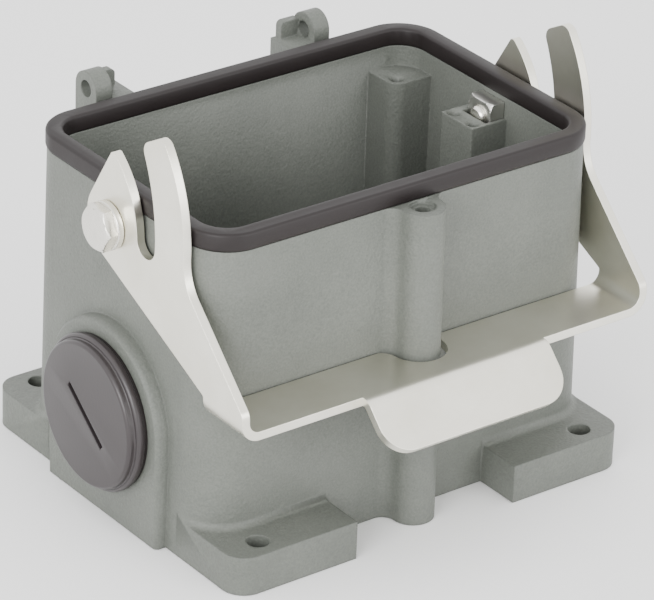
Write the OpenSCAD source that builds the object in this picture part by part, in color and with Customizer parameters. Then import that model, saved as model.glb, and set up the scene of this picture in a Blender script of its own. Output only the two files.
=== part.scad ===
// Surface-mounting housing for a heavy duty rectangular connector.
// Long axis along X, lever bar and front boss towards -Y, +Z up,
// origin at the centre of the four foot holes, on the underside.

/* [Body] */
// Length of the die-cast tub at its rim
body_l = 131.6; // [120:0.2:150]
// Width of the tub at its rim
body_w = 88; // [82:0.5:100]
// Height of the metal rim above the underside
body_h = 95; // [80:1:120]
// Radius of the tub's vertical corners at the rim
corner_r = 12.5; // [10:0.5:18]
// Thickness of the tub's walls at the rim
wall_t = 4; // [3:0.1:5]
// Thickness of the closed floor
floor_t = 5; // [3:0.5:8]
// Draft of the outer walls, in degrees
draft = 0.95; // [0.3:0.05:1.5]

/* [Feet] */
// Distance between the foot holes along X
hole_pitch_x = 112; // [100:1:130]
// Distance between the foot holes along Y
hole_pitch_y = 107; // [100:1:120]
// Diameter of the foot holes
foot_hole_d = 6.5; // [5:0.1:9]
// Thickness of each foot
foot_t = 11.6; // [8:0.2:15]
// Length of each foot along X
foot_l = 40; // [30:1:48]
// Metal between a foot hole's centre and the foot's long edge
foot_margin = 6.7; // [5:0.1:10]
// Radius of a foot's outer corner
foot_corner_r = 7; // [3:0.5:8]

/* [Cable entry] */
// Major diameter of the conduit thread in the end wall
entry_d = 37; // [30:0.5:40]
// Height of the entry's centre
entry_z = 31.6; // [28:0.2:36]
// Radius of the raised pad around the entry
pad_r = 26.6; // [24:0.2:28]
// How far the pad stands out beyond the wall at the entry's height
pad_out = 3.9; // [2:0.1:6]
// Diameter of the blanking plug's flange
plug_d = 45.4; // [42:0.2:48]
// Length of the screwdriver slot in the plug
plug_slot_l = 20.5; // [14:0.5:30]

/* [Rim seal] */
// Height of the seal above the metal rim
seal_h = 5.4; // [3:0.1:8]
// Thickness of the lip that the seal sits over
lip_t = 2; // [1.5:0.1:2.4]
// How far the seal stands out beyond the wall on both sides
seal_over = 0.45; // [0.2:0.05:0.6]

/* [Insert fixing] */
// Screw distance along the length of one contact insert
insert_pitch_x = 104; // [90:1:110]
// Screw distance across one contact insert
insert_pitch_y = 27; // [24:0.5:30]
// Distance between the centre lines of the two inserts
insert_spacing = 35.5; // [34:0.5:38]
// Tapping diameter of the insert screws
insert_screw_d = 3.3; // [2.5:0.1:4]
// Depth of the insert pillars' tops below the metal rim
pillar_drop = 6.3; // [4:0.1:12]

/* [Locking lever] */
// Thickness of the lever's sheet
lever_t = 2.5; // [2:0.1:3]
// Height of the pivot axis below the metal rim
pivot_drop = 6.4; // [6.4:0.1:12]
// Offset of the pivot axis from the middle, towards the front
pivot_front = 1; // [0:0.5:4]
// Drop of the bar's top face below the pivot axis
bar_drop = 36.5; // [30:0.5:45]
// Reach of the bar's front edge in front of the pivot axis
bar_reach = 62; // [58:0.5:66]
// Radius of the slot's closed end, where the hood's peg is held
peg_slot_r = 4.2; // [3.5:0.1:5]
// Length of the grip tab along X
tab_l = 62; // [40:1:90]
// Depth of the grip tab measured down its slope
tab_depth = 18.5; // [12:0.5:25]
// Slope of the grip tab away from the vertical, in degrees
tab_angle = 45; // [20:1:60]
// Sideways offset of the grip tab
tab_shift = 1.5; // [-3:0.5:3]
// Diameter of the pivot bolt's shoulder
shoulder_d = 9; // [8:0.1:9.4]
// Width across the flats of the pivot bolt's head
hex_af = 12; // [11:0.5:15]
// Height of the pivot bolt's head
hex_h = 3.4; // [3:0.1:5.5]

/* [Hinge lugs] */
// Distance between the outer faces of the two hinge eyes
lug_span = 80.8; // [60:0.2:100]
// Thickness of a hinge eye along X
lug_t = 5.4; // [4:0.1:8]
// Diameter of the hinge pin holes
lug_hole_d = 5; // [3:0.1:6]
// Outer radius of a hinge eye
lug_r = 5.2; // [4.2:0.1:6.5]
// Distance of the hinge axis behind the rear wall
lug_back = 10; // [8:0.2:14]

/* [Hidden] */
$fn = 96;
eps = 0.02;          // overlap of joined solids
big = 300;           // larger than the whole part

// Tub
half_l = body_l / 2;
half_w = body_w / 2;
grow = body_h * tan(draft);
base_half_l = half_l + grow;
base_half_w = half_w + grow;
cav_l = body_l - 2 * wall_t;
cav_w = body_w - 2 * wall_t;
cav_r = corner_r - wall_t;
cav_shrink = 0.6;    // how much the cavity narrows on each side at the floor
roof_t = 2;          // rubber above the lip
lip_h = seal_h - roof_t;
seal_play = 0.05;    // room between lip and seal

// Feet
foot_out_y = hole_pitch_y / 2 + foot_margin;
foot_in_x = base_half_l - foot_l;
foot_fillet = 2.2;   // radius where a foot's top meets the wall

// Front boss
boss_r = 6.3;        // radius of the boss's nose
boss_out = 10.2;     // how far the boss stands out from the wall
boss_blend = 4;      // radius of the hollow blend into the wall
boss_hole_d = 4.2;
boss_hole_depth = 16;
boss_sink_d = 7.4;   // shallow spot face around the hole
boss_sink_depth = 1.2;

// Cable entry
pad_face = half_l + (body_h - entry_z) * tan(draft) + pad_out;
pad_edge = 1;        // chamfer of the pad's edge
entry_play = 0.1;
gasket_t = 1.2;
flange_t = 2.3;
plug_cap_t = 2.2;
plug_cap_step = 1.4; // step from the flange in to the raised cap
plug_edge = 0.7;
plug_wall_t = 3;
plug_shank_l = 10;
plug_slot_w = 1.9;
plug_slot_depth = 1.4;
plug_slot_turn = -38.6;
plug_web = flange_t + plug_cap_t - 0.6;  // thickness of the plug's closed end
plug_chamfer = 1;
gasket_inset = 0.5;  // gasket's edge inside the flange's edge
gasket_play = 0.2;

// Insert pillars and nut blocks
pillar_z = body_h - pillar_drop;
pillar_nose = 3.7;   // metal on the inner sides of an insert screw
pillar_nose_r = 4.5;
wall_bite = 1;       // how far inner blocks run into the wall or floor
insert_screw_depth = 14;
screw_chamfer = 0.8;
block_front = 7.4;   // reach of a nut block towards the front
block_back = 6.8;    // and towards the rear
block_in = insert_pitch_x / 2 - 2.7;
block_low_z = entry_z + entry_d / 2 + 3;
nut_af = 10;
nut_t = 5;
nut_play = 0.15;     // room around the square nut in its pocket
nut_gap = 1.9;       // trough in front of the square nut, for the bolt's end
nut_pocket_x = cav_l / 2 - nut_t - nut_gap;
nut_chamfer = 1;
nut_crown_r = nut_af / 2 + 0.5;

// Pivot stack, from the wall outwards
pivot_y = -pivot_front;
pivot_z = body_h - pivot_drop;
spot_r = 6.2;
spot_out = 0.3;      // how far the machined spot face stands out at the rim
spot_face = half_l + spot_out;
spot_depth = 2;
washer_t = 0.6;
side_play = 0.1;     // room on each face of a lever arm
collar_t = 1.9;
collar_r = 6.9;
bore_play = 0.06;    // running clearance of the lever on its shoulders
washer_play = 0.1;
thread_d = 6;
thread_play = 0.15;
thread_core_play = 0.02;
arm_in = spot_face + washer_t + side_play;
arm_out = arm_in + lever_t;
collar_in = arm_out + side_play;
head_in = collar_in + collar_t;
head_out = head_in + hex_h;
bolt_tip = nut_pocket_x + 0.3;
tip_chamfer = 0.7;
thread_r = thread_d / 2 - thread_core_play;
hex_r = hex_af / 2 / cos(30);
hex_chamfer = 0.8;

// Lever arm, in its own plane: first number forward of the pivot, second above it
lobe_r = 11.1;       // rounded end of the arm around the pivot
lower_at = 245.6;    // angle of the lower edge's outward normal
rear_at = 148.7;     // angle of the beak's rear edge normal
beak_at = 53.2;      // where the beak's tip runs into the slot
slot_rear_at = 2;    // where the slot's rear side runs into its closed end
slot_front_at = -2.2;  // and the front side
beak_tip_r = 1.3;
beak_tip_run = 17.9; // distance of the beak tip along its rear edge
slot_rear_r = 27;    // curve of the slot's rear side
slot_front_r = 56;   // curve of the slot's front side
finger_r = 3.2;
finger_in_at = 25.5;
finger_out_at = 35.3;
bar_top = pivot_z - bar_drop;
bar_depth = body_h - bar_top;
bar_gap = 0.5;       // room between the resting bar and the front wall
bar_front = pivot_y - bar_reach;
bar_rear = -half_w - bar_depth * tan(draft) - bar_gap;
bar_w = bar_rear - bar_front;
front_r = 47.9;      // curve of the finger's front side
front_c = [-13.8, 5];
front_hollow_r = 14; // hollow where the finger meets the shank
shank_slope = 44.2;  // fall of the shank's front edge, in degrees
shank_offset = 21.4; // distance of that edge from the pivot
shank_corner_r = 4;
foot_hollow_r = 0.9;
bend_r = 3.5;        // inner bend radius of the sheet

// Bar
notch_play = 1.9;    // room between the bar's notch and the boss
notch_flare = 5;
tab_corner_r = 8.5;
tab_bend_r = 2.5;

// Hinge lugs
lug_y = half_w + lug_back;
lug_z = body_h + 4.8;
lug_foot = 16;       // depth of a lug's foot below the rim
lug_heel = 9;        // rise of a lug's underside towards its rear
lug_low_z = body_h - lug_foot;
lug_heel_z = lug_low_z + lug_heel;
lug_root = 2;        // how far a lug runs into the wall
shoulder_y = half_w + 1.2; // where a lug's upper edge leaves the wall
lug_web_z = lug_z - lug_hole_d / 2 - 0.2; // just below the pin's hole
rib_in = 28.9;       // from the middle to a rib's inner end
rib_l = lug_span / 2 - lug_t - rib_in;
rib_t = 2.6;
rib_y = lug_y + lug_r - rib_t;
rib_z = lug_z + 2.4;
rib_corner_r = 1.5;
web_l = rib_l + 1.8;

// ---------- helpers ----------

// Points of an arc from angle a0 to a1 about centre c
function arc(c, r, a0, a1, steps = 12) =
    [for (i = [0 : steps]) c + r * dir(a0 + (a1 - a0) * i / steps)];

// Unit vector at an angle
function dir(a) = [cos(a), sin(a)];

// Rectangle with rounded corners, centred
module rounded_plan(l, w, r) {
    square([l - 2 * r, w], center = true);
    square([l, w - 2 * r], center = true);
    for (sx = [-1, 1], sy = [-1, 1])
        translate([sx * (l / 2 - r), sy * (w / 2 - r)]) circle(r);
}

// Rounded block of size l x w at its top that is larger by `out` on every side at its base
module drafted_block(l, w, r, h, out) {
    for (sx = [-1, 1], sy = [-1, 1])
        translate([sx * (l / 2 - r), sy * (w / 2 - r), 0])
            cylinder(h = h, r1 = r + out, r2 = r);
    rotate([90, 0, 90])
        linear_extrude(l - 2 * r, center = true)
            drafted_section(w, h, out);
    rotate([90, 0, 0])
        linear_extrude(w - 2 * r, center = true)
            drafted_section(l, h, out);
}

module drafted_section(w, h, out) {
    polygon([[-w / 2 - out, 0], [w / 2 + out, 0], [w / 2, h], [-w / 2, h]]);
}

// Runs its children for the left end and, mirrored, for the right end
module both_ends() {
    for (s = [0, 1]) mirror([s, 0, 0]) children();
}

// Places a shape drawn along +Z so that it points to -X
module point_left() {
    rotate([0, -90, 0]) children();
}

// ---------- housing ----------

module foot_plan() {
    x_l = base_half_l - foot_in_x;
    y_l = foot_out_y - half_w + corner_r;
    translate([foot_in_x, half_w - corner_r]) {
        square([x_l - foot_corner_r, y_l]);
        square([x_l, y_l - foot_corner_r]);
        translate([x_l - foot_corner_r, y_l - foot_corner_r]) circle(foot_corner_r);
    }
}

// Hollow fillet between a foot's top and the long wall, and on around the corner
module foot_wall_fillet() {
    wall_y = half_w + grow - (foot_t + foot_fillet) * tan(draft);
    cx = half_l - corner_r;
    cy = half_w - corner_r;
    module section() {
        difference() {
            translate([-wall_bite, -eps]) square([foot_fillet + wall_bite, foot_fillet + eps]);
            translate([foot_fillet, foot_fillet]) circle(foot_fillet);
        }
    }
    translate([foot_in_x, wall_y, foot_t])
        rotate([90, 0, 90])
            linear_extrude(cx - foot_in_x) section();
    translate([cx, cy, foot_t])
        rotate_extrude(angle = 90)
            translate([wall_y - cy, 0]) section();
}

module feet() {
    for (mx = [0, 1], my = [0, 1])
        mirror([mx, 0, 0]) mirror([0, my, 0]) {
            linear_extrude(foot_t) foot_plan();
            intersection() {
                foot_wall_fillet();
                cube([base_half_l, big, big]);
            }
        }
}

// Plan of a half-round boss on a wall that lies along X at y = 0, nose towards -Y
module boss_plan(r, out, blend) {
    cy = -(out - r);
    fy = -blend;
    fx = sqrt(pow(r + blend, 2) - pow(cy - fy, 2));
    translate([0, cy]) circle(r);
    difference() {
        polygon([[-fx, 1], [fx, 1], [fx, 0], [fx, fy], [0, cy], [-fx, fy], [-fx, 0]]);
        for (s = [-1, 1])
            translate([s * fx, fy]) circle(blend);
    }
}

module front_boss() {
    intersection() {
        translate([0, -base_half_w, -1])
            rotate([-draft, 0, 0])
                linear_extrude(body_h + 4)
                    boss_plan(boss_r, boss_out, boss_blend);
        translate([-big / 2, -big / 2, 0]) cube([big, big, body_h]);
    }
}

// Raised pad with a half-round top around the cable entry, on the left end
module entry_pad() {
    inner = half_l - wall_t / 2;
    // half section: distance from the middle, distance out to the left
    half = [[0, inner], [pad_r, inner], [pad_r, pad_face - pad_edge],
            [pad_r - pad_edge, pad_face], [0, pad_face]];
    translate([0, 0, entry_z])
        point_left()
            rotate([0, 0, -90])
                rotate_extrude(angle = 180) polygon(half);
    linear_extrude(entry_z)
        for (s = [-1, 1])
            polygon([for (p = half) [-p.y, s * p.x]]);
}

// Hinge eye, its stop rib and the web that carries them, on the rear left
module hinge_lug() {
    eye_x = -lug_span / 2;
    rib_x = eye_x + lug_t;
    // eye and bracket, drawn from the side
    translate([eye_x, 0, 0])
        rotate([90, 0, 90])
            linear_extrude(lug_t) {
                translate([lug_y, lug_z]) circle(lug_r);
                polygon([[half_w - lug_root, lug_low_z], [half_w, lug_low_z],
                         [lug_y + lug_r, lug_heel_z], [lug_y + lug_r, lug_z],
                         [lug_y - lug_r, lug_z], [lug_y - lug_r, lug_web_z],
                         [shoulder_y, body_h - 1], [half_w - lug_root, body_h - 1]]);
            }
    // stop rib beside the eye, with a rounded upper corner
    translate([rib_x - eps, rib_y, lug_heel_z - 1]) {
        cube([rib_l + eps, rib_t, rib_z - rib_corner_r - lug_heel_z + 1]);
        cube([rib_l + eps - rib_corner_r, rib_t, rib_z - lug_heel_z + 1]);
    }
    translate([rib_x + rib_l - rib_corner_r, rib_y + rib_t, rib_z - rib_corner_r])
        rotate([90, 0, 0]) cylinder(h = rib_t, r = rib_corner_r);
    // low web that ties both to the wall
    translate([rib_x - eps, 0, 0])
        rotate([90, 0, 90])
            linear_extrude(web_l)
                polygon([[half_w - lug_root, lug_low_z], [half_w, lug_low_z],
                         [rib_y + rib_t, lug_heel_z], [rib_y + rib_t, lug_web_z],
                         [lug_y - lug_r, lug_web_z], [shoulder_y, body_h - 1],
                         [half_w - lug_root, body_h - 1]]);
}

// Corner pillar that takes an insert screw, in the +X +Y corner
module corner_pillar() {
    x0 = insert_pitch_x / 2 - pillar_nose;
    y0 = (insert_spacing + insert_pitch_y) / 2 - pillar_nose;
    x1 = cav_l / 2 + wall_bite;
    y1 = cav_w / 2 + wall_bite;
    translate([0, 0, floor_t - wall_bite])
        linear_extrude(pillar_z - floor_t + wall_bite)
            difference() {
                union() {
                    translate([x0 + pillar_nose_r, y0]) square([x1 - x0 - pillar_nose_r, y1 - y0]);
                    translate([x0, y0 + pillar_nose_r]) square([x1 - x0, y1 - y0 - pillar_nose_r]);
                    translate([x0 + pillar_nose_r, y0 + pillar_nose_r]) circle(pillar_nose_r);
                }
                // stay inside the rounded corner of the wall
                difference() {
                    translate([x1 - cav_r, y1 - cav_r]) square(cav_r + eps);
                    translate([x1 - cav_r, y1 - cav_r]) circle(cav_r);
                }
            }
}

// Block in the middle of an end wall: two insert screws and the nut pocket,
// sloped underneath so that it stays clear of the cable entry
module nut_block() {
    wall_x = cav_l / 2 + wall_bite;
    translate([0, block_back, 0])
        rotate([90, 0, 0])
            linear_extrude(block_front + block_back)
                polygon([[block_in, pillar_z], [block_in, block_low_z + wall_x - block_in],
                         [wall_x, block_low_z], [wall_x, pillar_z]]);
}

module screw_hole(x, y) {
    translate([x, y, pillar_z - insert_screw_depth])
        cylinder(h = insert_screw_depth + 1, d = insert_screw_d);
    translate([x, y, pillar_z - screw_chamfer])
        cylinder(h = screw_chamfer + eps, d1 = insert_screw_d,
                 d2 = insert_screw_d + 2 * screw_chamfer);
}

module insert_screw_holes() {
    for (sx = [-1, 1], sy = [-1, 1], sp = [-1, 1])
        screw_hole(sx * insert_pitch_x / 2, sy * insert_spacing / 2 + sp * insert_pitch_y / 2);
}

module nut_pocket() {
    half = nut_af / 2 + nut_play;
    translate([nut_pocket_x, pivot_y - half, pivot_z - half])
        cube([cav_l / 2 - nut_pocket_x, 2 * half, big]);
}

module tub_solid() {
    drafted_block(body_l, body_w, corner_r, body_h, grow);
    translate([0, 0, body_h - eps])
        linear_extrude(lip_h + eps)
            rounded_plan(body_l - wall_t + lip_t, body_w - wall_t + lip_t,
                         corner_r - (wall_t - lip_t) / 2);
}

module cavity() {
    translate([0, 0, floor_t])
        drafted_block(cav_l, cav_w, cav_r, body_h - floor_t, -cav_shrink);
    translate([0, 0, body_h - eps])
        linear_extrude(lip_h + 1)
            rounded_plan(body_l - wall_t - lip_t, body_w - wall_t - lip_t,
                         corner_r - (wall_t + lip_t) / 2);
}

module housing() {
    color([0.55, 0.56, 0.54])
    difference() {
        union() {
            difference() {
                union() {
                    tub_solid();
                    feet();
                    front_boss();
                    entry_pad();
                    both_ends() {
                        hinge_lug();
                        translate([-spot_face, pivot_y, pivot_z])
                            rotate([0, 90, 0]) cylinder(h = spot_depth, r = spot_r);
                    }
                }
                cavity();
            }
            for (mx = [0, 1], my = [0, 1])
                mirror([mx, 0, 0]) mirror([0, my, 0]) corner_pillar();
            both_ends() nut_block();
        }
        insert_screw_holes();
        both_ends() {
            nut_pocket();
            translate([nut_pocket_x, pivot_y, pivot_z])
                rotate([0, 90, 0]) cylinder(h = big, d = thread_d + 2 * thread_play);
            translate([-lug_span / 2 - 1, lug_y, lug_z])
                rotate([0, 90, 0]) cylinder(h = lug_t + rib_l + 4, d = lug_hole_d);
        }
        for (sx = [-1, 1], sy = [-1, 1])
            translate([sx * hole_pitch_x / 2, sy * hole_pitch_y / 2, -1])
                cylinder(h = foot_t + 2, d = foot_hole_d);
        translate([-big, 0, entry_z])
            rotate([0, 90, 0]) cylinder(h = big - half_l + 10, d = entry_d);
        translate([0, -half_w - boss_out + boss_r, body_h - boss_hole_depth])
            cylinder(h = boss_hole_depth + 1, d = boss_hole_d);
        translate([0, -half_w - boss_out + boss_r, body_h - boss_sink_depth])
            cylinder(h = boss_sink_depth + 1, d = boss_sink_d);
    }
}

// ---------- rim seal ----------

module rim_seal() {
    out = 2 * seal_over;
    groove_out = -wall_t + lip_t + 2 * seal_play;
    groove_in = -wall_t - lip_t - 2 * seal_play;
    color([0.16, 0.13, 0.14])
    translate([0, 0, body_h])
    difference() {
        linear_extrude(seal_h)
            rounded_plan(body_l + out, body_w + out, corner_r + out / 2);
        translate([0, 0, -1])
            linear_extrude(seal_h + 2)
                rounded_plan(cav_l - out, cav_w - out, cav_r - out / 2);
        translate([0, 0, -1])
            linear_extrude(lip_h + 1)
                difference() {
                    rounded_plan(body_l + groove_out, body_w + groove_out,
                                 corner_r + groove_out / 2);
                    rounded_plan(body_l + groove_in, body_w + groove_in,
                                 corner_r + groove_in / 2);
                }
    }
}

// ---------- locking lever ----------

// Arm outline, worked out from arcs that meet tangentially
lower_n = dir(lower_at);
rear_n = dir(rear_at);
rear_d = dir(rear_at - 90);
beak_c = (lobe_r - beak_tip_r) * rear_n + beak_tip_run * rear_d;
slot_rear_c = beak_c - (slot_rear_r - beak_tip_r) * dir(beak_at);
slot_c = slot_rear_c + (slot_rear_r + peg_slot_r) * dir(slot_rear_at);
slot_front_c = slot_c - (slot_front_r - peg_slot_r) * dir(slot_front_at);
finger_in_c = slot_front_c + (slot_front_r + finger_r) * dir(finger_in_at);
finger_out_c = front_c + (front_r - finger_r) * dir(finger_out_at);
finger_top = finger_out_c - finger_in_c;
finger_top_at = atan2(finger_top.y, finger_top.x) + 90;
shank_at = 90 - shank_slope;
hollow_start = (shank_offset + front_hollow_r) * dir(shank_at);
hollow_w = hollow_start - front_c;
hollow_b = hollow_w * dir(-shank_slope);
hollow_s = -hollow_b + sqrt(pow(hollow_b, 2) - hollow_w * hollow_w
                            + pow(front_r + front_hollow_r, 2));
hollow_c = hollow_start + hollow_s * dir(-shank_slope);
hollow_at = atan2(hollow_c.y - front_c.y, hollow_c.x - front_c.x);
corner_u = bar_reach - shank_corner_r;
corner_c = [corner_u,
            (shank_offset - shank_corner_r - corner_u * cos(shank_at)) / sin(shank_at)];
bar_rear_u = bar_reach - bar_w;
foot_u = bar_rear_u - foot_hollow_r;
foot_c = [foot_u, (lobe_r + foot_hollow_r - foot_u * lower_n.x) / lower_n.y];
arm_bottom = -bar_drop + bend_r;

// Outline of one arm: forward of the pivot, above the pivot
module arm_plan() {
    difference() {
        polygon(concat(
            arc([0, 0], lobe_r, lower_at, rear_at, 14),
            arc(beak_c, beak_tip_r, rear_at, beak_at, 8),
            arc(slot_rear_c, slot_rear_r, beak_at, slot_rear_at, 16),
            arc(slot_c, peg_slot_r, slot_rear_at + 180, slot_front_at + 360, 16),
            arc(slot_front_c, slot_front_r, slot_front_at, finger_in_at, 14),
            arc(finger_in_c, finger_r, finger_in_at + 180, finger_top_at, 8),
            arc(finger_out_c, finger_r, finger_top_at, finger_out_at, 8),
            arc(front_c, front_r, finger_out_at, hollow_at, 16),
            arc(hollow_c, front_hollow_r, hollow_at + 180, shank_at + 180, 10),
            arc(corner_c, shank_corner_r, shank_at, 0, 8),
            [[bar_reach, arm_bottom], [bar_rear_u, arm_bottom]],
            arc(foot_c, foot_hollow_r, 0, lower_at - 180, 8)));
        circle(d = shoulder_d + 2 * bore_play);
    }
}

module lever_arm() {
    translate([-arm_in, pivot_y, pivot_z])
        rotate([90, 0, -90])
            linear_extrude(lever_t) arm_plan();
}

// Bar with the two bends that join it to the arms, drawn from the front
module lever_bar() {
    bend_x = arm_in - bend_r;
    bend_z = bar_top + bend_r;
    translate([0, bar_rear, 0])
        rotate([90, 0, 0])
            linear_extrude(bar_w) {
                translate([-bend_x - eps, bar_top - lever_t])
                    square([2 * (bend_x + eps), lever_t]);
                for (s = [0, 1])
                    mirror([s, 0])
                        intersection() {
                            translate([-bend_x, bend_z])
                                difference() {
                                    circle(bend_r + lever_t);
                                    circle(bend_r);
                                }
                            translate([-arm_out - 1, bar_top - lever_t - 1])
                                square([arm_out + 1 - bend_x, bend_r + lever_t + 1]);
                        }
            }
}

// Grip tab, bent down and outwards from the bar's front edge
module grip_tab() {
    turn = 90 - tab_angle;
    r_out = tab_bend_r + lever_t;
    axis_z = bar_top - r_out;
    arc_l = r_out * turn * PI / 180;
    flat_l = tab_depth - arc_l;
    translate([tab_shift, bar_front, axis_z]) {
        // bend
        rotate([90, 0, 90])
            linear_extrude(tab_l, center = true)
                intersection() {
                    difference() {
                        circle(r_out);
                        circle(tab_bend_r);
                    }
                    polygon([[0, 0], [eps, 2 * r_out], [-2 * r_out * sin(turn), 2 * r_out],
                             [-2 * r_out * sin(turn), 2 * r_out * cos(turn)]]);
                }
        // flat part with rounded lower corners
        rotate([turn, 0, 0])
            translate([0, 0, tab_bend_r])
                linear_extrude(lever_t)
                    mirror([0, 1])
                        intersection() {
                            translate([0, flat_l - tab_depth])
                                rounded_plan(tab_l, 2 * tab_depth, tab_corner_r);
                            translate([-tab_l, -eps]) square([2 * tab_l, tab_depth]);
                        }
    }
}

module locking_lever() {
    color([0.86, 0.85, 0.81])
    difference() {
        union() {
            both_ends() lever_arm();
            lever_bar();
            grip_tab();
        }
        translate([0, -half_w - bar_depth * tan(draft), bar_top - 2 * lever_t])
            linear_extrude(3 * lever_t)
                boss_plan(boss_r + notch_play, boss_out + notch_play, notch_flare);
    }
}

// ---------- pivot parts, drawn for the left end ----------

module ring(x0, x1, d_out, d_in) {
    translate([-x0, pivot_y, pivot_z])
        point_left()
            difference() {
                cylinder(h = x1 - x0, d = d_out);
                translate([0, 0, -1]) cylinder(h = x1 - x0 + 2, d = d_in);
            }
}

module pivot_bolt() {
    color([0.84, 0.83, 0.79])
    translate([0, pivot_y, pivot_z]) {
        translate([-bolt_tip, 0, 0]) point_left()
            rotate_extrude()
                polygon([[0, 0], [thread_r - tip_chamfer, 0], [thread_r, tip_chamfer],
                         [thread_r, spot_face - bolt_tip + eps], [0, spot_face - bolt_tip + eps]]);
        translate([-spot_face, 0, 0]) point_left()
            cylinder(h = head_in - spot_face + eps, d = shoulder_d);
        translate([-head_in, 0, 0]) point_left()
            intersection() {
                rotate([0, 0, 30]) cylinder(h = hex_h, r = hex_r, $fn = 6);
                union() {
                    cylinder(h = hex_h - hex_chamfer, r = hex_r + hex_chamfer);
                    translate([0, 0, hex_h - hex_chamfer])
                        cylinder(h = hex_chamfer, r1 = hex_r, r2 = hex_r - 1.5 * hex_chamfer);
                }
            }
    }
}

module pivot_collar() {
    color([0.80, 0.79, 0.75])
    ring(collar_in, head_in, 2 * collar_r, shoulder_d + 2 * washer_play);
}

module inner_washer() {
    color([0.72, 0.72, 0.70])
    ring(spot_face, spot_face + washer_t, 2 * spot_r, shoulder_d + 2 * washer_play);
}

module square_nut() {
    color([0.60, 0.60, 0.57])
    translate([-cav_l / 2 + side_play, pivot_y, pivot_z])
        rotate([0, 90, 0])
            difference() {
                intersection() {
                    translate([-nut_af / 2, -nut_af / 2, 0]) cube([nut_af, nut_af, nut_t]);
                    union() {
                        cylinder(h = nut_t - nut_chamfer, r = nut_af);
                        translate([0, 0, nut_t - nut_chamfer])
                            cylinder(h = nut_chamfer, r1 = nut_af / sqrt(2), r2 = nut_crown_r);
                    }
                }
                translate([0, 0, -1]) cylinder(h = nut_t + 2, d = thread_d);
            }
}

module pivot_bolt_left() { pivot_bolt(); }
module pivot_bolt_right() { mirror([1, 0, 0]) pivot_bolt(); }
module pivot_collar_left() { pivot_collar(); }
module pivot_collar_right() { mirror([1, 0, 0]) pivot_collar(); }
module inner_washer_left() { inner_washer(); }
module inner_washer_right() { mirror([1, 0, 0]) inner_washer(); }
module square_nut_left() { square_nut(); }
module square_nut_right() { mirror([1, 0, 0]) square_nut(); }

// ---------- cable entry closure ----------

// Half section of the plug, turned about its axis: radius, distance out from the gasket
module plug_section() {
    flange_r = plug_d / 2;
    cap_r = flange_r - plug_cap_step;
    cap_top = flange_t + plug_cap_t;
    shank_r = entry_d / 2 - entry_play;
    web_in = cap_top - plug_web;
    polygon([[0, cap_top], [cap_r - plug_edge, cap_top], [cap_r, cap_top - plug_edge],
             [cap_r, flange_t], [flange_r - plug_edge, flange_t],
             [flange_r, flange_t - plug_edge], [flange_r, 0],
             [shank_r, 0], [shank_r, plug_chamfer - plug_shank_l],
             [shank_r - plug_chamfer, -plug_shank_l],
             [shank_r - plug_wall_t, -plug_shank_l], [shank_r - plug_wall_t, web_in], [0, web_in]]);
}

module blanking_plug() {
    cap_top = flange_t + plug_cap_t;
    color([0.20, 0.17, 0.17])
    translate([-pad_face - gasket_t, 0, entry_z])
        point_left()
            difference() {
                rotate_extrude() plug_section();
                rotate([0, 0, plug_slot_turn])
                    translate([-plug_slot_w / 2, -plug_slot_l / 2, cap_top - plug_slot_depth])
                        cube([plug_slot_w, plug_slot_l, plug_slot_depth + 1]);
            }
}

module plug_gasket() {
    color([0.10, 0.10, 0.10])
    translate([-pad_face, 0, entry_z])
        point_left()
            difference() {
                cylinder(h = gasket_t, d = plug_d - 2 * gasket_inset);
                translate([0, 0, -1]) cylinder(h = gasket_t + 2, d = entry_d + 2 * gasket_play);
            }
}

housing();
rim_seal();
locking_lever();
pivot_bolt_left();
pivot_bolt_right();
pivot_collar_left();
pivot_collar_right();
inner_washer_left();
inner_washer_right();
square_nut_left();
square_nut_right();
blanking_plug();
plug_gasket();
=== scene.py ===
# Surface-mounting connector housing: the looks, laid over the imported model.
# The object is taken from its die-cast body out to its small steel parts, and
# each section makes one piece or group of like pieces.
import math

import bmesh
import bpy
from mathutils import Matrix, Vector


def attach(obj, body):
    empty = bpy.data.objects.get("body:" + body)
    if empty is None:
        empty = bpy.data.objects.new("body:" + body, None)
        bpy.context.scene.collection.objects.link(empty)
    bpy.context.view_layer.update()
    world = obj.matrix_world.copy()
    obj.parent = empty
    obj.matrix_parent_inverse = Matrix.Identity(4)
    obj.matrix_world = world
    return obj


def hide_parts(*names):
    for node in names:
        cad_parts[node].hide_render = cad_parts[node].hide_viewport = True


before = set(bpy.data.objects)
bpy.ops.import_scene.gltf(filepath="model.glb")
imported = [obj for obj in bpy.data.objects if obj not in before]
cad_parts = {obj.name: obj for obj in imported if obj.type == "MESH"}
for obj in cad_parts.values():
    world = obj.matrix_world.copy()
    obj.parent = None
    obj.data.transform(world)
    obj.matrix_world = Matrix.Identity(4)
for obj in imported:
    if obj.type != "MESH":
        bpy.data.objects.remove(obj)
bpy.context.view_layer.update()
scene = bpy.context.scene

# ---------------------------------------------------------------- housing
# Pressure-die-cast aluminium tub with feet, boss, entry pad and hinge lugs.
# Every edge is rounded by the die, and the whole casting has a fine pebbled
# grey powder coat.
CASTING_EDGE = 0.0007  # radius of the die's edges


def merged_copy(node, name):
    """A clean copy of a CAD node's mesh: joined corners and whole flat faces."""
    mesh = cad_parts[node].data.copy()
    mesh.name = name
    mesh.materials.clear()
    bm = bmesh.new()
    bm.from_mesh(mesh)
    bmesh.ops.remove_doubles(bm, verts=bm.verts, dist=2e-6)
    bmesh.ops.dissolve_limit(bm, angle_limit=math.radians(0.6), verts=bm.verts, edges=bm.edges)
    bm.to_mesh(mesh)
    bm.free()
    piece = bpy.data.objects.new(name, mesh)
    scene.collection.objects.link(piece)
    return piece


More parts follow.
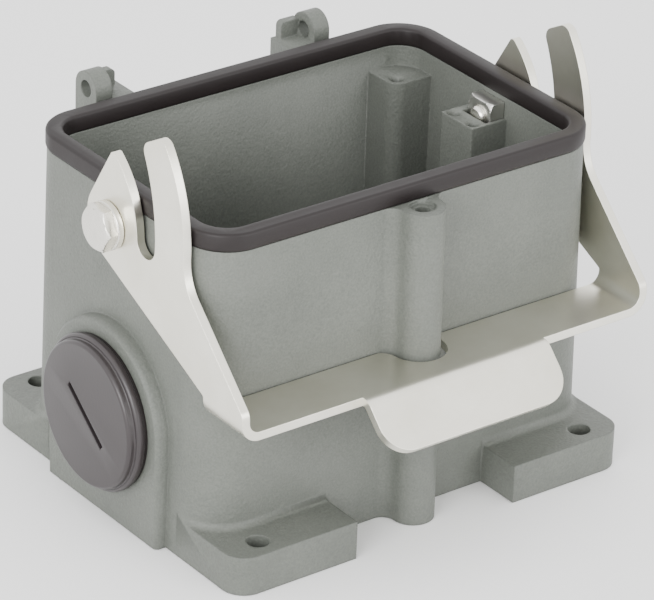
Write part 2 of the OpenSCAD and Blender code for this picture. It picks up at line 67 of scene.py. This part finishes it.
def smooth_runs(piece, angle=28):
    """Smooths the facets of curved faces and keeps real edges sharp."""
    piece.data.polygons.foreach_set("use_smooth", [True] * len(piece.data.polygons))
    piece.data.set_sharp_from_angle(angle=math.radians(angle))


def round_edges(piece, width, segments=2, angle=28):
    """Rolls every sharp edge of a small piece over, as a tumbled or turned edge is."""
    smooth_runs(piece, 180)
    bevel = piece.modifiers.new("edges", "BEVEL")
    bevel.width = width
    bevel.segments = segments
    bevel.limit_method = "ANGLE"
    bevel.angle_limit = math.radians(angle)
    bevel.harden_normals = True
    bevel.use_clamp_overlap = False


def new_material(name):
    """An empty node material with its shader, and a short way to add nodes."""
    material = bpy.data.materials.new(name)
    material.use_nodes = True
    tree = material.node_tree
    tree.nodes.clear()
    shader = tree.nodes.new("ShaderNodeBsdfPrincipled")
    output = tree.nodes.new("ShaderNodeOutputMaterial")
    tree.links.new(shader.outputs[0], output.inputs[0])

    def add(kind, **settings):
        node = tree.nodes.new("ShaderNode" + kind)
        for key, value in settings.items():
            if key in node.inputs:
                socket = node.inputs[key]
                if isinstance(value, bpy.types.NodeSocket):
                    tree.links.new(value, socket)
                else:
                    socket.default_value = value
            else:
                setattr(node, key, value)
        return node

    def link(source, socket):
        tree.links.new(source, socket)

    return material, shader, add, link


def powder_coat():
    material, shader, add, link = new_material("grey powder coat")
    place = add("TexCoord").outputs["Object"]
    pebble = add("TexNoise", Vector=place, Scale=1150.0, Detail=2.0, Roughness=0.45)
    orange_peel = add("TexNoise", Vector=place, Scale=620.0, Detail=1.0, Roughness=0.4)
    cloud = add("TexNoise", Vector=place, Scale=28.0, Detail=4.0, Roughness=0.6)
    speck = add("TexNoise", Vector=place, Scale=1700.0, Detail=1.0, Roughness=0.5)
    # colour: grey with slow clouds and a fine grain
    tint = add("ValToRGB")
    tint.color_ramp.elements[0].position = 0.34
    tint.color_ramp.elements[0].color = (0.088, 0.095, 0.083, 1)
    tint.color_ramp.elements[1].position = 0.68
    tint.color_ramp.elements[1].color = (0.128, 0.136, 0.120, 1)
    mixed = add("Mix", data_type="FLOAT")
    mixed.inputs[0].default_value = 0.45
    link(cloud.outputs["Fac"], mixed.inputs[2])
    link(speck.outputs["Fac"], mixed.inputs[3])
    link(mixed.outputs[0], tint.inputs["Fac"])
    link(tint.outputs["Color"], shader.inputs["Base Color"])
    # roughness follows the pebbles
    rough = add("MapRange")
    rough.inputs["To Min"].default_value = 0.42
    rough.inputs["To Max"].default_value = 0.62
    link(pebble.outputs["Fac"], rough.inputs["Value"])
    link(rough.outputs["Result"], shader.inputs["Roughness"])
    soft_edge = add("Bevel", Radius=CASTING_EDGE)
    soft_edge.samples = 6
    small = add("Bump", Strength=0.75, Distance=0.0002)
    link(soft_edge.outputs["Normal"], small.inputs["Normal"])
    link(pebble.outputs["Fac"], small.inputs["Height"])
    broad = add("Bump", Strength=0.4, Distance=0.00025)
    link(orange_peel.outputs["Fac"], broad.inputs["Height"])
    link(small.outputs["Normal"], broad.inputs["Normal"])
    link(broad.outputs["Normal"], shader.inputs["Normal"])
    shader.inputs["Specular IOR Level"].default_value = 0.42
    return material


housing = merged_copy("housing", "housing_casting")
housing.data.materials.append(powder_coat())
smooth_runs(housing)
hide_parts("housing")
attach(housing, "base")

# ---------------------------------------------------------------- rim seal
# Moulded rubber ring pressed over the housing's lip. Its outer top edge is
# rounded.
rim = merged_copy("rim_seal", "rim_seal_rubber")


def moulded_rubber():
    material, shader, add, link = new_material("moulded rubber")
    place = add("TexCoord").outputs["Object"]
    bloom = add("TexNoise", Vector=place, Scale=60.0, Detail=5.0, Roughness=0.62)
    grain = add("TexNoise", Vector=place, Scale=900.0, Detail=2.0, Roughness=0.5)
    tint = add("ValToRGB")
    tint.color_ramp.elements[0].color = (0.006, 0.004, 0.004, 1)
    tint.color_ramp.elements[1].color = (0.012, 0.008, 0.008, 1)
    link(bloom.outputs["Fac"], tint.inputs["Fac"])
    link(tint.outputs["Color"], shader.inputs["Base Color"])
    rough = add("MapRange")
    rough.inputs["To Min"].default_value = 0.42
    rough.inputs["To Max"].default_value = 0.62
    link(bloom.outputs["Fac"], rough.inputs["Value"])
    link(rough.outputs["Result"], shader.inputs["Roughness"])
    bump = add("Bump", Strength=0.3, Distance=0.0001)
    link(grain.outputs["Fac"], bump.inputs["Height"])
    link(bump.outputs["Normal"], shader.inputs["Normal"])
    shader.inputs["Specular IOR Level"].default_value = 0.35
    return material


rubber = moulded_rubber()
rim.data.materials.append(rubber)
round_edges(rim, 0.0009, segments=3)
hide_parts("rim_seal")
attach(rim, "base")

# ---------------------------------------------------------------- locking lever
# One stamping of 2.5 mm steel sheet, folded twice into a U with a turned-down
# grip tab. The faces are satin from rolling, the edges rounded in shading.
lever = merged_copy("locking_lever", "locking_lever_stamping")


def rolled_steel():
    material, shader, add, link = new_material("rolled steel")
    place = add("TexCoord").outputs["Object"]
    stretched = add("Mapping", Vector=place)
    stretched.inputs["Scale"].default_value = (1.0, 9.0, 9.0)
    rolling = add("TexNoise", Vector=stretched.outputs[0], Scale=160.0, Detail=4.0, Roughness=0.6)
    cloud = add("TexNoise", Vector=place, Scale=45.0, Detail=4.0, Roughness=0.6)
    grain = add("TexNoise", Vector=place, Scale=1400.0, Detail=2.0, Roughness=0.5)
    tint = add("ValToRGB")
    tint.color_ramp.elements[0].position = 0.3
    tint.color_ramp.elements[0].color = (0.76, 0.735, 0.635, 1)
    tint.color_ramp.elements[1].position = 0.7
    tint.color_ramp.elements[1].color = (0.86, 0.84, 0.755, 1)
    link(cloud.outputs["Fac"], tint.inputs["Fac"])
    link(tint.outputs["Color"], shader.inputs["Base Color"])
    shader.inputs["Metallic"].default_value = 1.0
    rough = add("MapRange")
    rough.inputs["To Min"].default_value = 0.26
    rough.inputs["To Max"].default_value = 0.36
    link(rolling.outputs["Fac"], rough.inputs["Value"])
    link(rough.outputs["Result"], shader.inputs["Roughness"])
    soft_edge = add("Bevel", Radius=0.00028)
    soft_edge.samples = 6
    bump = add("Bump", Strength=0.2, Distance=0.00005)
    link(soft_edge.outputs["Normal"], bump.inputs["Normal"])
    link(grain.outputs["Fac"], bump.inputs["Height"])
    link(bump.outputs["Normal"], shader.inputs["Normal"])
    return material


lever.data.materials.append(rolled_steel())
smooth_runs(lever)
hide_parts("locking_lever")
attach(lever, "lever")

# ---------------------------------------------------------------- pivot bolts, collars, washers and nuts
# Turned steel shoulder bolts with chamfered hexagon heads. Each carries the
# lever arm between a thin washer and a thick collar, and ends in a square nut.


def turned_steel(name, dark, light, rough_low, rough_high):
    material, shader, add, link = new_material(name)
    place = add("TexCoord").outputs["Object"]
    cloud = add("TexNoise", Vector=place, Scale=220.0, Detail=4.0, Roughness=0.6)
    tint = add("ValToRGB")
    tint.color_ramp.elements[0].color = dark
    tint.color_ramp.elements[1].color = light
    link(cloud.outputs["Fac"], tint.inputs["Fac"])
    link(tint.outputs["Color"], shader.inputs["Base Color"])
    shader.inputs["Metallic"].default_value = 1.0
    rough = add("MapRange")
    rough.inputs["To Min"].default_value = rough_low
    rough.inputs["To Max"].default_value = rough_high
    link(cloud.outputs["Fac"], rough.inputs["Value"])
    link(rough.outputs["Result"], shader.inputs["Roughness"])
    bump = add("Bump", Strength=0.25, Distance=0.00005)
    link(cloud.outputs["Fac"], bump.inputs["Height"])
    link(bump.outputs["Normal"], shader.inputs["Normal"])
    return material


bright = turned_steel("bright turned steel", (0.66, 0.64, 0.58, 1), (0.86, 0.84, 0.78, 1), 0.2, 0.34)
plated = turned_steel("plated steel", (0.50, 0.50, 0.47, 1), (0.70, 0.69, 0.66, 1), 0.26, 0.42)
for side in ("left", "right"):
    for node, material, edge, slot in (
        ("pivot_bolt_", bright, 0.00018, "bolt_steel"),
        ("pivot_collar_", bright, 0.0003, "bolt_steel"),
        ("inner_washer_", plated, 0.0001, "washer_steel"),
        ("square_nut_", plated, 0.0002, "nut_steel"),
    ):
        part = merged_copy(node + side, node + side + "_turned")
        part.data.materials.append(material)
        round_edges(part, edge)
        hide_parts(node + side)
        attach(part, "base")

# ---------------------------------------------------------------- blanking plug and its gasket
# Injection-moulded plug with a screwdriver slot, screwed into the conduit
# thread against a flat rubber ring.
plug = merged_copy("blanking_plug", "blanking_plug_moulding")


def moulded_plastic():
    material, shader, add, link = new_material("moulded plastic")
    place = add("TexCoord").outputs["Object"]
    cloud = add("TexNoise", Vector=place, Scale=90.0, Detail=4.0, Roughness=0.6)
    grain = add("TexNoise", Vector=place, Scale=1100.0, Detail=2.0, Roughness=0.5)
    tint = add("ValToRGB")
    tint.color_ramp.elements[0].color = (0.018, 0.014, 0.015, 1)
    tint.color_ramp.elements[1].color = (0.030, 0.024, 0.025, 1)
    link(cloud.outputs["Fac"], tint.inputs["Fac"])
    link(tint.outputs["Color"], shader.inputs["Base Color"])
    rough = add("MapRange")
    rough.inputs["To Min"].default_value = 0.28
    rough.inputs["To Max"].default_value = 0.42
    link(cloud.outputs["Fac"], rough.inputs["Value"])
    link(rough.outputs["Result"], shader.inputs["Roughness"])
    bump = add("Bump", Strength=0.2, Distance=0.00008)
    link(grain.outputs["Fac"], bump.inputs["Height"])
    link(bump.outputs["Normal"], shader.inputs["Normal"])
    return material


plug.data.materials.append(moulded_plastic())
round_edges(plug, 0.0004, segments=3)
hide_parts("blanking_plug")
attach(plug, "base")

gasket = merged_copy("plug_gasket", "plug_gasket_ring")
gasket.data.materials.append(rubber)
round_edges(gasket, 0.0002)
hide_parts("plug_gasket")
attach(gasket, "base")

# ---------------------------------------------------------------- camera
# A long lens, high to the left of the front.
azimuth, elevation, roll = math.radians(-37.57), math.radians(27.6), math.radians(2.11)
look_at = Vector((0.00388, -0.00225, 0.04528))
back = Vector((math.sin(azimuth) * math.cos(elevation), -math.cos(azimuth) * math.cos(elevation),
               math.sin(elevation)))
level = Vector((math.cos(azimuth), math.sin(azimuth), 0.0))
upright = back.cross(level)
right = math.cos(roll) * level + math.sin(roll) * upright
up = -math.sin(roll) * level + math.cos(roll) * upright
lens = bpy.data.cameras.new("camera")
lens.sensor_width = 36.0
lens.lens = 4455.76 / 654.0 * 36.0
lens.clip_start = 0.05
lens.clip_end = 20.0
camera = bpy.data.objects.new("camera", lens)
turn = Matrix((right, up, back)).transposed().to_4x4()
camera.matrix_world = Matrix.Translation(look_at + 1.25298 * back) @ turn
scene.collection.objects.link(camera)
scene.camera = camera

# ---------------------------------------------------------------- floor and light
# Plain pale floor, and soft boxes low at the sides so that upright faces are
# brighter than level ones.
floor_mesh = bpy.data.meshes.new("floor")
reach = 6.0
floor_mesh.from_pydata([(-reach, -reach, 0), (reach, -reach, 0), (reach, reach, 0), (-reach, reach, 0)],
                       [], [(0, 1, 2, 3)])
floor = bpy.data.objects.new("floor", floor_mesh)
floor.location.z = -0.0002
scene.collection.objects.link(floor)
pale, shader, add, link = new_material("pale floor")
shader.inputs["Base Color"].default_value = (0.86, 0.86, 0.86, 1)
shader.inputs["Roughness"].default_value = 0.9
floor_mesh.materials.append(pale)


def soft_box(name, place, size, watts, tone=(1.0, 1.0, 1.0)):
    data = bpy.data.lights.new(name, "AREA")
    data.shape = "RECTANGLE"
    data.size, data.size_y = size
    data.energy = watts
    data.color = tone
    lamp = bpy.data.objects.new(name, data)
    aim = Vector(place) - Vector((0, 0, 0.05))
    lamp.rotation_euler = aim.to_track_quat("Z", "Y").to_euler()
    lamp.location = place
    scene.collection.objects.link(lamp)


soft_box("left box", (-1.1, -0.55, 0.55), (0.7, 0.6), 14.0)
soft_box("front box", (0.35, -1.3, 0.45), (0.9, 0.6), 8.0)
world = bpy.data.worlds.new("studio")
scene.world = world
world.use_nodes = True
world.node_tree.nodes["Background"].inputs["Color"].default_value = (1.0, 1.0, 1.0, 1)
world.node_tree.nodes["Background"].inputs["Strength"].default_value = 2.2
